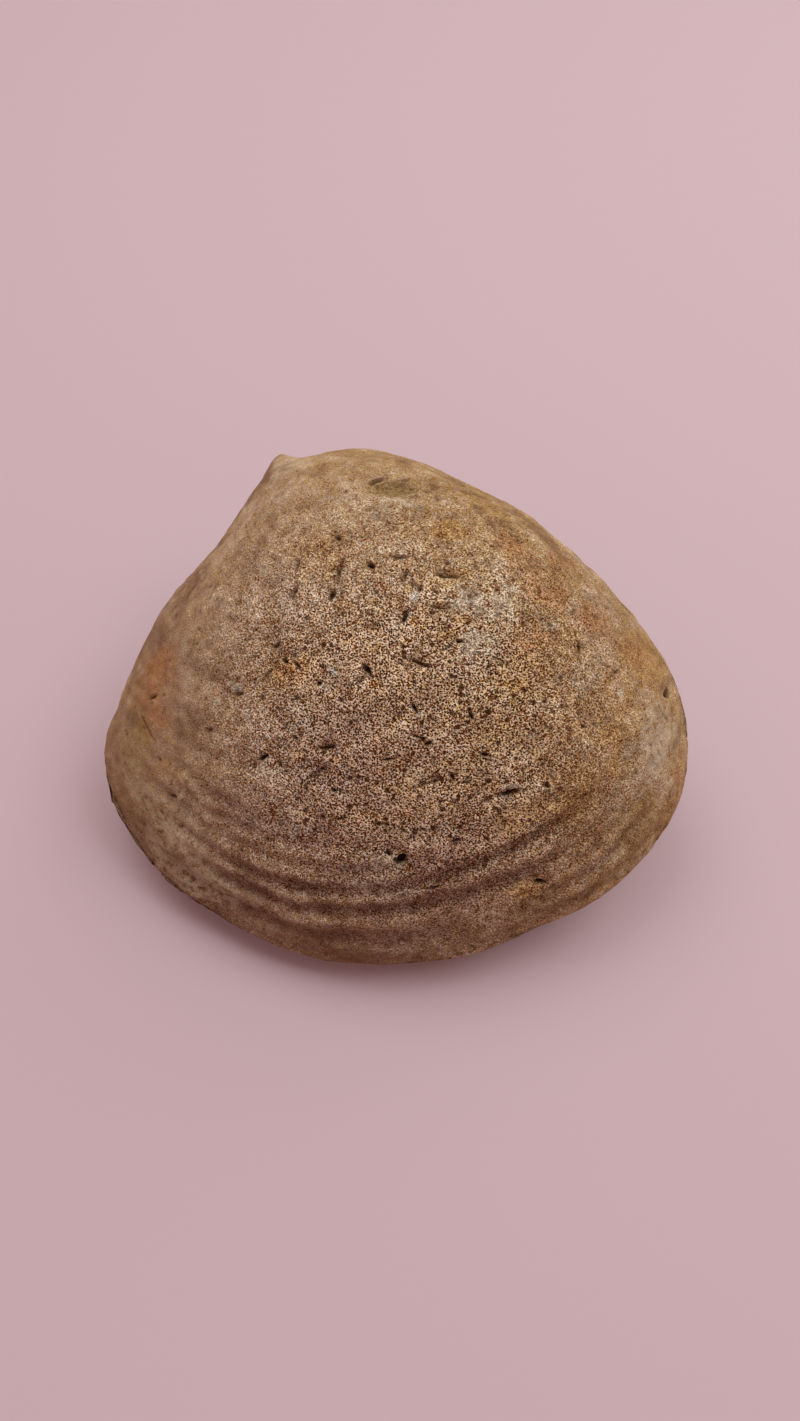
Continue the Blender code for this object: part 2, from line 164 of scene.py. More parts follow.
# Chalk marks; those along the lower front-left rim, at (-23.2, -14.8), (-18.6, -18.2) and (-20.0, -14.5), are
# painted light on the rim, and the one at (-19.2, -8.4) is a painted highlight along a ridge
CHALK_AND_LIGHT = (
    (1.4, 16.4, 4.6, 2.0, -8, 0.48), (8.4, 2.4, 5.6, 3.4, 30, 0.58), (-7.2, -8.0, 3.0, 2.2, 0, 0.28),
    (2.4, -8.2, 4.4, 2.2, 0, 0.26), (-0.8, -16.0, 6.0, 1.8, 0, 0.50),
    (0.4, 15.2, 5.4, 3.6, -20, 0.28), (-23.2, -14.8, 6.0, 3.4, -50, 0.50), (-1.8, -18.2, 6.0, 1.8, 0, 0.40),
    (3.4, -23.2, 5.0, 2.0, 10, 0.28), (22.6, -6.2, 3.0, 3.0, 0, 0.30), (9.2, -2.0, 3.0, 2.0, 0, 0.20),
    (7.4, 6.6, 4.6, 3.6, 0, 0.66), (-19.2, -8.4, 5.4, 2.6, -6, 0.36), (-19.2, -11.4, 5.0, 4.0, -30, 0.34),
    (-18.6, -18.2, 10.0, 3.8, -32, 0.52),
    (17.4, 0.2, 4.6, 2.4, 0, 0.24),
    (9.8, 5.9, 4.4, 3.0, -30, 0.56), (8.0, 4.0, 4.4, 1.2, 35, 0.32), (5.6, 2.0, 3.0, 0.9, 38, 0.30),
    (2.8, 6.8, 1.5, 0.8, 62, 0.95), (2.2, 5.4, 2.6, 0.9, 60, 0.50), (5.9, 6.5, 1.0, 0.6, 20, 0.80),
    (11.3, 7.8, 1.8, 0.8, 0, 0.55), (-4.5, 0.4, 1.1, 0.6, -30, 0.95), (0.5, -0.4, 1.4, 0.8, 60, 0.55),
    (-13.8, -0.4, 2.0, 0.9, -42, 0.95), (-15.4, -1.6, 1.0, 0.6, 0, 0.70), (-5.2, -0.9, 1.4, 0.7, -30, 0.70),
    (24.8, -4.6, 7.0, 4.6, 80, 0.56), (-10.8, 21.4, 4.2, 4.0, 0, 0.28),
    (-9.8, 22.4, 1.8, 1.2, 0, 0.40), (20.9, -0.9, 2.0, 1.2, 90, 0.65), (-10.6, -8.0, 3.8, 2.0, -15, 0.42),
    (0.0, -18.9, 5.0, 1.2, 4, 0.38), (-0.6, -13.6, 6.0, 2.6, 0, 0.20), (11.0, -9.6, 1.8, 0.6, 8, 0.70),
    (13.0, -9.4, 2.0, 1.2, 20, 0.30), (-20.0, -14.5, 14.0, 4.0, -48, 0.48),
    (3.2, -3.5, 0.9, 0.7, 0, 0.90), (-11.0, 10.5, 1.4, 1.0, 60, 0.45),
    (-8.0, -2.6, 3.6, 2.0, 10, 0.22), (14.6, 4.6, 1.6, 1.2, 0, 0.40),
    (17.4, -0.6, 2.2, 1.4, -60, 0.40), (-6.0, -4.0, 6.0, 2.4, 0, 0.18), (9.0, -14.2, 3.0, 1.0, 25, 0.30),
)
UMBER = (
    (-1.0, -10.6, 5.0, 2.4, 0, 0.42), (-1.0, -7.0, 3.0, 2.0, 0, 0.20),
    (-1.6, -4.0, 4.4, 3.0, 10, 0.62), (1.4, -5.6, 3.4, 1.8, -10, 0.42), (4.0, -4.0, 3.4, 2.4, 0, 0.50),
    (-4.0, 0.6, 2.6, 2.4, 0, 0.52),
    (1.2, -12.9, 3.6, 2.0, 0, 0.52), (8.0, -13.0, 6.0, 2.4, 8, 0.56), (-4.0, -25.2, 12.0, 3.0, 6, 0.70),
    (13.2, -5.4, 4.4, 3.0, 25, 0.42), (8.6, -8.4, 4.4, 2.2, 0, 0.44), (19.8, -10.4, 3.6, 3.4, 0, 0.62),
    (-5.8, 17.2, 4.0, 3.0, 0, 0.32), (-13.4, 3.2, 5.0, 3.4, 0, 0.36), (-9.8, 9.8, 3.4, 3.0, 0, 0.32),
    (-9.6, 5.0, 3.0, 3.0, 0, 0.28), (12.8, 5.6, 2.6, 2.4, 0, 0.28), (-15.5, 5.5, 3.4, 4.0, 20, 0.36),
    (-12.6, 10.4, 2.4, 3.0, 0, 0.28),
    (23.0, -8.2, 4.0, 3.0, 60, 0.30),
    (-8.6, 7.6, 3.0, 2.2, 20, 0.35),
    (17.0, -8.6, 7.0, 4.0, 50, 0.60), (18.5, -12.0, 6.0, 4.0, 50, 0.50), (12.0, -10.8, 6.0, 3.0, 20, 0.35),
    (7.0, -11.0, 6.0, 2.0, 20, 0.25), (-12.6, -14.4, 5.0, 1.6, -24, 0.35),
    (-26.0, -12.4, 4.0, 3.0, -60, 0.20), (20.0, 6.0, 9.0, 7.0, -50, 0.30), (-9.0, 2.6, 3.0, 2.0, 0, 0.30),
)

# Each stain: name, its marks on the upper valve, and for the lower valve its strength, the seed and
# size of its blotches in millimetres, and how rare they are
STAINS = (
    ("rust", RUST, 0.6, 21, 9.0, 0.35),
    ("ochre", OCHRE, 0.6, 22, 7.0, 0.25),
    ("olive_and_shade", OLIVE_AND_SHADE, 0.6, 23, 8.0, 0.45),
    ("chalk_and_light", CHALK_AND_LIGHT, 0.8, 24, 4.0, 0.60),
    ("umber", UMBER, 0.5, 25, 5.0, 0.30),
)


# ---------------------------------------------------------------- form of the shell

def smoothstep(low, high, x):
    t = np.clip((x - low) / (high - low), 0.0, 1.0)
    return t * t * (3.0 - 2.0 * t)


def closed_curve(points, steps=24):
    """Smooth closed curve through the points."""
    p = np.array(points, float)
    t = np.linspace(0.0, 1.0, steps, endpoint=False)[:, None]
    spans = []
    for i in range(len(p)):
        a, b, c, d = p[i - 1], p[i], p[(i + 1) % len(p)], p[(i + 2) % len(p)]
        square = (2.0 * a - 5.0 * b + 4.0 * c - d) * t ** 2
        cube = (3.0 * b - 3.0 * c + d - a) * t ** 3
        spans.append(0.5 * (2.0 * b + (c - a) * t + square + cube))
    return np.concatenate(spans)


def reach_table(curve, centre):
    """Distance from a centre out to the curve, against direction."""
    q = curve - np.array(centre)
    turn = np.arctan2(q[:, 1], q[:, 0])
    order = np.argsort(turn)
    steps = np.linspace(-math.pi, math.pi, 1441)
    reach = np.interp(steps, turn[order], np.hypot(q[:, 0], q[:, 1])[order], period=2.0 * math.pi)
    return steps, reach


def eased(reach, spread):
    """The same reach with its corners rounded off over a spread in radians."""
    waves = np.fft.rfft(reach[:-1])
    waves *= np.exp(-0.5 * (np.arange(len(waves)) * spread) ** 2)
    soft = np.fft.irfft(waves, len(reach) - 1)
    return np.append(soft, soft[0])


def valve(ball, side, curve, half):
    """One valve: the unit ball's directions spread over the plan and raised to the valve's depth."""
    steps, reach = reach_table(curve, half["crest"])
    soft = eased(reach, math.radians(16.0))
    turn = np.arctan2(ball[:, 1], ball[:, 0])
    lift = np.abs(ball[:, 2]) ** 0.85
    share = np.sqrt(np.clip(1.0 - lift ** 2, 0.0, 1.0))
    far = np.interp(turn, steps, soft)
    far += (np.interp(turn, steps, reach) - far) * share ** 3
    hinge = smoothstep(-0.55, 0.75, np.sin(turn - math.radians(12.0)))
    power = half["wedge"] + (half["full"] - half["wedge"]) * hinge
    x = half["crest"][0] + share * far * np.cos(turn)
    y = half["crest"][1] + share * far * np.sin(turn)
    return np.stack([x, y, side * half["depth"] * (lift ** 2) ** power], axis=1)


def growth(x, y, curve):
    """How far out each point is between umbo and rim, 0 to 1, and the distance to the rim there."""
    steps, reach = reach_table(curve, UMBO)
    turn = np.arctan2(y - UMBO[1], x - UMBO[0])
    full = np.interp(turn, steps, reach)
    return np.hypot(x - UMBO[0], y - UMBO[1]) / full, full


def furrow_lines(x, y, curve):
    """For each growth furrow: distance from its line in half-widths, and its depth there."""
    share, full = growth(x, y, curve)
    turn = np.degrees(np.arctan2(y - UMBO[1], x - UMBO[0]))
    for place, deep, wide, lean, start, end in FURROWS:
        line = place + lean * (turn + 80.0) / 40.0 + 0.004 * np.sin(turn * 0.16 + place * 40.0)
        run = smoothstep(start - 8.0, start + 8.0, turn) * smoothstep(end + 8.0, end - 8.0, turn)
        yield (share - line) * full / wide, deep * run * smoothstep(16.0, 30.0, full)


def furrows(x, y, curve):
    """Depth of the growth furrows, each between two low ridges."""
    depth = np.zeros(len(x))
    for off, deep in furrow_lines(x, y, curve):
        depth += deep * (np.exp(-0.5 * off ** 2) - 0.35 * np.exp(-0.5 * (np.abs(off) - 2.0) ** 2))
    return depth


def dents(x, y, marks):
    """Depth of the dents, each an oval hollow."""
    depth = np.zeros(len(x))
    for cx, cy, length, width, turn, deep in marks:
        c, s = math.cos(math.radians(turn)), math.sin(math.radians(turn))
        along = ((x - cx) * c + (y - cy) * s) / (0.5 * length)
        across = ((y - cy) * c - (x - cx) * s) / (0.5 * width)
        depth += deep * np.exp(-0.8 * (along ** 2 + across ** 2) ** 1.3)
    return depth


def swell(points, seed=SWELL_SEED):
    """Slow unevenness: a few waves in fixed chance directions."""
    rng = np.random.default_rng(seed)
    total = np.zeros(len(points))
    for length in (31.0, 23.0, 17.0, 13.0, 9.5, 7.0):
        for _ in range(3):
            way = rng.normal(size=3)
            way /= np.linalg.norm(way)
            phase = points @ way * 2.0 * math.pi / length + rng.uniform(0.0, 6.28)
            total += np.sin(phase) * (length / 31.0) ** 0.8
    return total / 3.4


def hollow(points):
    """Depth of the hollow between the beaks: deepest under them, running out along the hinge."""
    turn = np.degrees(np.arctan2(points[:, 1] - 3.0, points[:, 0] - 4.0))
    ahead = smoothstep(152.0, 124.0, turn)
    behind = smoothstep(58.0, 112.0, turn)
    fall = np.exp(-(np.abs(points[:, 2]) / HOLLOW_WIDTH) ** 2.2)
    return HOLLOW_DEPTH * ahead * behind * fall


def seam(points):
    """Depth of the fine groove where the valves meet."""
    drift = 0.25 * np.sin(points[:, 0] * 0.22) + 0.15 * np.sin(points[:, 1] * 0.41 + 1.0)
    return SEAM_DEPTH * np.exp(-0.5 * ((points[:, 2] - drift) / SEAM_WIDTH) ** 2)


def shape(ball):
    """The smooth body of both valves with its hinge, before furrows and dents."""
    curve = closed_curve(OUTLINE)
    upper = valve(ball, 1.0, curve, UPPER)
    lower = valve(ball, -1.0, curve, LOWER)
    points = np.where(ball[:, 2:3] >= 0.0, upper, lower)
    inward = np.stack([4.0 - points[:, 0], 3.0 - points[:, 1]], axis=1)
    inward /= np.maximum(np.linalg.norm(inward, axis=1), 1e-6)[:, None]
    points[:, :2] += inward * hollow(points)[:, None]
    for side in (1.0, -1.0):
        off = points - np.array([BEAK[0], BEAK[1], side * BEAK[2]])
        rise = BEAK_RISE * np.exp(-0.5 * (off ** 2).sum(axis=1) / (0.6 * BEAK_SIZE) ** 2)
        points += rise[:, None] * np.array([-0.35, 0.93, 0.0])
    return points


def relief(points):
    """Depth to take off along the normal: furrows, dents, seam and unevenness."""
    curve = closed_curve(OUTLINE)
    x, y, z = points.T
    upper = smoothstep(-0.5, 0.5, z)
    depth = furrows(x, y, curve) * smoothstep(0.0, 1.5, np.abs(z))
    depth += dents(x, y, UPPER_DENTS) * upper + dents(x, y, LOWER_DENTS) * (1.0 - upper)
    return depth + seam(points) - SWELL * swell(points)


def lying(points):
    """Turns the shell's own frame into the way it lies."""
    t, r = math.radians(TILT), math.radians(ROLL)
    roll = np.array([[math.cos(r), 0, -math.sin(r)], [0, 1, 0], [math.sin(r), 0, math.cos(r)]])
    tilt = np.array([[1, 0, 0], [0, math.cos(t), -math.sin(t)], [0, math.sin(t), math.cos(t)]])
    return points @ (tilt @ roll).T


# ---------------------------------------------------------------- mesh helpers

def read(mesh, what):
    flat = np.empty(len(mesh.vertices) * 3)
    mesh.vertices.foreach_get(what, flat)
    return flat.reshape(-1, 3)


def move(mesh, points):
    mesh.vertices.foreach_set("co", np.ascontiguousarray(points).ravel())
    mesh.update()


def paint(mesh, name, values):
    """Keeps one number per vertex on the mesh, for the material to read."""
    layer = mesh.attributes.new(name, "FLOAT", "POINT")
    layer.data.foreach_set("value", np.clip(values, 0.0, 1.0).astype(np.float32))


def swelled(cube):
    """Points of a cube moved out to the unit ball, evenly."""
    ball = np.tan(cube * math.pi / 4.0)
    return ball / np.linalg.norm(ball, axis=1)[:, None]


def split(bm, chosen):
    """Halves every edge between two chosen vertices."""
    edges = [edge for edge in bm.edges if all(chosen[vert.index] for vert in edge.verts)]
    bmesh.ops.subdivide_edges(bm, edges=edges, cuts=1, use_grid_fill=True)
    bm.verts.index_update()


def near_pit(points):
    """Whether each point is in or beside one of the listed pits."""
    near = np.zeros(len(points), bool)
    for x, y, length, width, turn, _ in UPPER_PITS:
        c, s = math.cos(math.radians(turn)), math.sin(math.radians(turn))
        along = ((points[:, 0] - x) * c + (points[:, 1] - y) * s) / (0.5 * length + 0.35)
        across = ((points[:, 1] - y) * c - (points[:, 0] - x) * s) / (0.5 * width + 0.35)
        near |= along ** 2 + across ** 2 < 1.0
    return near & (points[:, 2] > 0.5)


def even_ball(cells):
    """A ball of even cells, from a cube cut up and swelled, finer on top and finest around the pits."""
    bm = bmesh.new()
    bmesh.ops.create_cube(bm, size=2.0)
    bmesh.ops.subdivide_edges(bm, edges=bm.edges[:], cuts=cells - 1, use_grid_fill=True)
    bm.verts.index_update()
    split(bm, [vert.co.z > -1e-6 for vert in bm.verts])
    split(bm, near_pit(shape(swelled(np.array([vert.co for vert in bm.verts])))))
    bmesh.ops.triangulate(bm, faces=bm.faces[:])
    mesh = bpy.data.meshes.new("stone")
    bm.to_mesh(mesh)
    bm.free()
    return mesh, swelled(read(mesh, "co"))


class Lattice:
    """Smooth chance values on a repeating lattice, turned so that its rows don't show."""

    def __init__(self, seed, size=32):
        rng = np.random.default_rng(seed)
        self.size = size
        self.values = rng.uniform(-1.0, 1.0, (size, size, size))
        self.turn = np.linalg.qr(rng.normal(size=(3, 3)))[0]

    def at(self, points, cell):
        p = points @ self.turn / cell
        low = np.floor(p).astype(int)
        t = p - low
        t = t * t * (3.0 - 2.0 * t)
        total = np.zeros(len(points))
        for corner in itertools.product((0, 1), repeat=3):
            weight = np.prod(np.where(np.array(corner) == 1, t, 1.0 - t), axis=1)
            i, j, k = ((low + corner) % self.size).T
            total += weight * self.values[i, j, k]
        return total


# ---------------------------------------------------------------- pits

def plan_mark(points, side, x, y):
    """The vertex of one valve that lies over a place in plan."""
    off = (points[:, 0] - x) ** 2 + (points[:, 1] - y) ** 2 + np.where(points[:, 2] * side > 0.3, 0.0, 1e6)
    return int(np.argmin(off))


def chosen_pits(points):
    """The pits listed for the upper valve, as vertex, length, width, turn and depth."""
    pits = []
    for x, y, length, width, turn, deep in UPPER_PITS:
        pits.append((plan_mark(points, 1.0, x, y), length, PIT_NARROWING * width, math.radians(turn), deep))
    return pits


def chance_pits(points, normals, number, seed):
    """Small pits strewn over the whole stone, thinning out towards the rim."""
    rng = np.random.default_rng(seed)
    pits = []
    for index in rng.integers(0, len(points), number * 3):
        crown = smoothstep(0.15, 0.75, abs(normals[index, 2]))
        if rng.uniform() > 0.12 + 0.88 * crown:
            continue
        width = 0.30 + 0.30 * rng.beta(1.2, 5.0)
        length = width * (1.0 + rng.exponential(0.5))
        deep = (0.06 + 0.24 * rng.beta(1.2, 3.0)) * (0.5 + 0.5 * crown)
        pits.append((int(index), length, width, rng.normal(0.25, 0.7), deep))
        if len(pits) == number:
            break
    return pits


def carve(points, normals, pits, wobble):
    """Depth of all the pits at each vertex, and a mark for their painted shade: 0 at a pit's edge, more
    inside and more for deeper pits, less outside.
    """
    tree = kdtree.KDTree(len(points))
    for index, point in enumerate(points):
        tree.insert(point, index)
    tree.balance()
    depth = np.zeros(len(points))
    mark = np.full(len(points), -0.5)
    for index, length, width, turn, deep in pits:
        normal = normals[index]
        along = np.array([math.cos(turn), math.sin(turn), 0.0])
        along -= normal * (along @ normal)
        along /= np.linalg.norm(along)
        across = np.cross(normal, along)
        near = np.array([hit[1] for hit in tree.find_range(points[index], 0.75 * length + 0.3)])
        off = points[near] - points[index]
        off_along = off @ along / (0.5 * length)
        off_across = off @ across / (0.5 * width)
        far = np.hypot(off_along, off_across) + PIT_WOBBLE * wobble[near]
        depth[near] = np.maximum(depth[near], deep * (1.0 - smoothstep(0.50, 1.15, far)))
        if width < 1.5:
            mark[near] = np.maximum(mark[near], (1.0 - far) * min(1.0, deep / 0.55))
    return depth, mark


# ---------------------------------------------------------------- stains

def stain(points, marks, wander):
    """Strength of a stain at each vertex, with wandering edges."""
    strength = np.zeros(len(points))
    for cx, cy, length, width, turn, much in marks:
        c, s = math.cos(math.radians(turn)), math.sin(math.radians(turn))
        along = ((points[:, 0] - cx) * c + (points[:, 1] - cy) * s) / (0.5 * length)
        across = ((points[:, 1] - cy) * c - (points[:, 0] - cx) * s) / (0.5 * width)
        far = np.hypot(along, across) + 0.45 * wander
        strength = np.maximum(strength, much * (1.0 - smoothstep(0.45, 1.35, far)))
    return strength * (points[:, 2] > 0.0)


def chance_stain(points, lattice, cell, share):
    """Blotches of a stain over the lower valve."""
    field = lattice.at(points, cell) + 0.4 * lattice.at(points, cell * 0.4)
    return smoothstep(share, share + 0.45, field) * smoothstep(0.5, -1.5, points[:, 2])


def paint_stains(mesh, points, wander):
    for name, marks, much, seed, cell, share in STAINS:
        under = much * chance_stain(points, Lattice(seed), cell, share)
        paint(mesh, name, stain(points, marks, wander) + under)


def blot(points, middle, spread):
    """A soft oval in plan, 1 at its middle."""
    across = (points[:, 0] - middle[0]) / spread[0]
    up = (points[:, 1] - middle[1]) / spread[1]
    return np.exp(-0.5 * (across ** 2 + up ** 2))


def openness(points, patches):
    """How open the grain is: worn open on the crown of the upper valve, in patches on the lower one."""
    off = points[:, :2] - np.array([2.6, -3.0])
    long = (off[:, 1] - off[:, 0]) * 0.707
    short = (off[:, 0] + off[:, 1]) * 0.707
    crown = np.exp(-0.5 * ((long / 14.0) ** 2 + (short / 12.8) ** 2) ** 1.3)
    crown *= smoothstep(-26.0, -10.0, points[:, 0])
    crown *= 1.0 - 0.22 * blot(points, (1.0, 10.5), (6.0, 4.0))
    crown += 0.19 * blot(points, (-4.0, -15.0), (15.0, 6.0))
    crown = np.minimum(crown, 1.0)
    under = 0.35 + 0.35 * patches
    upper = smoothstep(-3.0, 3.0, points[:, 2])
    return 0.14 + 0.86 * (crown * upper + under * (1.0 - upper))


# ---------------------------------------------------------------- the stone

def strand_lines(points, share, full, turn, coarse, fine):
    """Fine streaks that run round the shell with its growth, above and below 0."""
    strand = np.stack([share * full, 0.14 * turn * share * full, 0.2 * points[:, 2]], axis=1)
    return 0.8 * coarse.at(strand, 1.5) + 0.6 * fine.at(strand, 0.7)


def strand_relief(points, share, full, lines):
    """Depth of the streaks: none near the umbo, deepest at the front end, less along the rim there."""
    strands = smoothstep(16.0, 30.0, full) * smoothstep(0.45, 0.70, share)
    ahead = smoothstep(-8.0, -18.0, points[:, 0])
    return (0.10 + ahead * (0.08 - 0.14 * smoothstep(0.84, 0.94, share))) * lines * strands


def rough_relief(points, coarse, fine):
    """Depth of the lumps and hollows of the worn surface, at three sizes."""
    lumps = 0.090 * coarse.at(points, 2.6) + 0.075 * fine.at(points, 1.3)
    return lumps + 0.055 * coarse.at(points + 40.0, 0.62)


def furrow_shade(points, share, turn, curve):
    """How dark the growth furrows are painted: partly their own purple-brown and partly painted shade, set a
    little towards the umbo onto the wall that faces away from the lamps, with a band of painted shade along
    the front of the rim; turn is in degrees.
    """
    shade = np.zeros(len(points))
    for off, deep in furrow_lines(points[:, 0], points[:, 1], curve):
        shade = np.maximum(shade, deep / 0.38 * np.exp(-0.5 * ((off + 0.35) / 1.1) ** 2))
    front = smoothstep(0.90, 0.955, share) * smoothstep(-118.0, -104.0, turn)
    front *= smoothstep(-62.0, -78.0, turn)
    return np.maximum(shade, 0.55 * front)


def drop_to_rest(points):
    """What to take off so that the stone's footprint is centred and its worn flat is at 0."""
    placed = lying(points)
    low, high = placed.min(axis=0), placed.max(axis=0)
    return np.array([(low[0] + high[0]) / 2.0, (low[1] + high[1]) / 2.0, low[2] + REST_CUT])


def carved_stone():
    """The whole stone with its grain, pits and furrows, in place, in metres."""
    mesh, ball = even_ball(SKIN_CELLS)
    move(mesh, shape(ball))
    points = read(mesh, "co")
    points -= read(mesh, "normal") * (relief(points) - SEAM_FILL * seam(points))[:, None]
    move(mesh, points)
    drop = drop_to_rest(points)

    normals = read(mesh, "normal")
    coarse, fine = Lattice(3), Lattice(5)
    wobble = 0.8 * fine.at(points, 0.50) + 0.7 * coarse.at(points, 0.25)
    pits = chosen_pits(points) + chance_pits(points, normals, CHANCE_PITS, CHANCE_PIT_SEED)
    depth, mark = carve(points, normals, pits, wobble)
    curve = closed_curve(OUTLINE)
    share, full = growth(points[:, 0], points[:, 1], curve)
    turn = np.arctan2(points[:, 1] - UMBO[1], points[:, 0] - UMBO[0])
    lines = strand_lines(points, share, full, turn, coarse, fine)
    depth += strand_relief(points, share, full, lines)
    rough = rough_relief(points, coarse, fine)
    depth += rough
    turn = np.degrees(turn)

    wander = 0.6 * coarse.at(points, 3.1) + 0.4 * fine.at(points, 1.2)
    # Mark for the painted shade in the pits
    paint(mesh, "pit", 0.5 + 0.5 * mark)
    paint(mesh, "furrow", furrow_shade(points, share, turn, curve))
    paint(mesh, "seam", seam(points) / SEAM_DEPTH + hollow(points) / HOLLOW_DEPTH)
    paint_stains(mesh, points, wander)
    # Growth bands, strongest along the deeper streaks: partly their brown and partly painted shade
    paint(mesh, "band", (0.5 + 0.5 * lines) * smoothstep(0.44, 0.64, share) * smoothstep(-50.0, -80.0, turn))
    rearward = points[:, 0] + 0.5 * points[:, 1] + 7.0 * coarse.at(points, 7.0)
    paint(mesh, "warm", smoothstep(-8.0, 15.0, rearward))
    # How low the fine relief is, for the painted shade in its hollows and the painted highlight on its lumps
    paint(mesh, "low", 0.5 + 3.4 * rough)
    paint(mesh, "open", openness(points, coarse.at(points, 9.0)))

    placed = lying(points - normals * depth[:, None]) - drop
    placed[:, 2] = np.maximum(placed[:, 2], 0.0)
    move(mesh, placed / MM_PER_METRE)
    mesh.shade_smooth()
    stone = bpy.data.objects.new("sandstone_body", mesh)
    bpy.context.scene.collection.objects.link(stone)
    return stone


# ---------------------------------------------------------------- shader maths

class Tint:
    """Wraps a socket, so that shader maths is written as Python expressions."""

    def __init__(self, bench, socket):
        self.bench = bench
        self.socket = socket

    def _math(self, operation, *others):
        values = {i: v for i, v in enumerate((self, *others))}
        return self.bench.node("ShaderNodeMath", {"operation": operation}, values)

    def __add__(self, other):
        return self._math("ADD", other)

    __radd__ = __add__

    def __mul__(self, other):
        return self._math("MULTIPLY", other)

    __rmul__ = __mul__

    def __sub__(self, other):
        return self._math("SUBTRACT", other)

    def __rsub__(self, other):
        return self.bench.node("ShaderNodeMath", {"operation": "SUBTRACT"}, {0: other, 1: self})

    def clipped(self):
        return self.bench.node("ShaderNodeMath", {"operation": "ADD", "use_clamp": True}, {0: self, 1: 0.0})


class Bench:
    """Builds the nodes of one material."""

    def __init__(self, name):
        self.material = bpy.data.materials.new(name)
        self.material.use_nodes = True
        self.tree = self.material.node_tree
        self.shader = self.tree.nodes["Principled BSDF"]

    def node(self, kind, settings=None, values=None, out=0):
        made = self.tree.nodes.new(kind)
        for key, value in (settings or {}).items():
            setattr(made, key, value)
        for key, value in (values or {}).items():
            self.feed(made.inputs[key], value)
        return Tint(self, made.outputs[out])

    def feed(self, socket, value):
        if isinstance(value, Tint):
            self.tree.links.new(value.socket, socket)
        else:
            socket.default_value = value

    def place(self):
        """Object coordinates, in millimetres."""
        spot = self.node("ShaderNodeTexCoord", out="Object")
        values = {"Vector": spot, "Scale": MM_PER_METRE}
        return self.node("ShaderNodeVectorMath", {"operation": "SCALE"}, values)

    def noise(self, spot, scale, detail=2.0, roughness=0.5):
        values = {"Vector": spot, "Scale": scale, "Detail": detail, "Roughness": roughness}
        return self.node("ShaderNodeTexNoise", None, values)

    def cells(self, spot, scale):
        """Distance to the middle of the nearest grain, and a chance value for each grain."""
        values = {"Vector": spot, "Scale": scale, "Randomness": 1.0}
        far = self.node("ShaderNodeTexVoronoi", {"feature": "F1"}, values, out="Distance")
        tone = Tint(self, far.socket.node.outputs["Color"])
        return far, self.node("ShaderNodeSeparateColor", None, {0: tone}, out=0)

    def step(self, value, low, high):
        """0 below low, 1 above high, smooth between."""
        settings = {"interpolation_type": "SMOOTHSTEP"}
        return self.node("ShaderNodeMapRange", settings, {"Value": value, "From Min": low, "From Max": high})

    def mix(self, share, one, other, blend="MIX"):
        settings = {"data_type": "RGBA", "blend_type": blend}
        return self.node("ShaderNodeMix", settings, {0: share, 6: one, 7: other}, out=2)

    def multiply(self, one, other):
        return self.mix(1.0, one, other, "MULTIPLY")

    def layer(self, name):
        return self.node("ShaderNodeAttribute", {"attribute_name": name}, None, out="Fac")


def colour(r, g, b):
    """A colour from its 0 to 255 screen values."""
    def one(v):
        v /= 255.0
        return v / 12.92 if v <= 0.04045 else ((v + 0.055) / 1.055) ** 2.4
    return (one(r), one(g), one(b), 1.0)


# Colours of the sand, of its stains and of its dark holes, with painted shade in the furrows, bands, hollows
# and holes and painted light on the lumps and on some chalk marks
SAND_FRONT = colour(174, 137, 104)
SAND_REAR = colour(173, 134, 89)
SAND_LIGHT = colour(189, 155, 117)
SAND_DULL = colour(169, 128, 87)
FLECK_GOLD = colour(179, 138, 72)
FLECK_GREY = colour(169, 146, 131)
HOLLOW_BROWN_AND_SHADE = colour(121, 84, 61)
LUMP_PALE_AND_HIGHLIGHT = colour(202, 170, 138)
BAND_BROWN_AND_SHADE = colour(112, 78, 67)
OCHRE_BROWN = colour(182, 134, 72)
RUST_BROWN = colour(166, 106, 60)
OLIVE_AND_SHADE_BROWN = colour(149, 118, 73)
CHALK_AND_LIGHT_BUFF = colour(196, 173, 140)
CHALK_AND_LIGHT_WHITE = colour(208, 204, 190)
CHALK_AND_LIGHT_POWDER = colour(198, 176, 146)
UMBER_BROWN = colour(115, 81, 57)
FURROW_BROWN_AND_SHADE = colour(89, 54, 41)
SEAM_BUFF = colour(160, 122, 86)
PORE_SHADE = colour(48, 18, 2)
POCK_SHADE = colour(58, 28, 10)
SLIT_SHADE = colour(60, 34, 17)
PIT_EDGE_SHADE = colour(92, 59, 36)
PIT_SHADE = colour(40, 21, 11)

# What the colour is multiplied by where the grain is closed or open, and in its pale and dark grains
CLOSED_GRAIN = (0.935, 0.978, 0.970, 1.0)
OPEN_GRAIN = (1.152, 1.128, 1.080, 1.0)
PALE_GRAIN = (1.88, 2.40, 3.20, 1.0)
DARK_GRAIN = (0.33, 0.12, 0.02, 1.0)


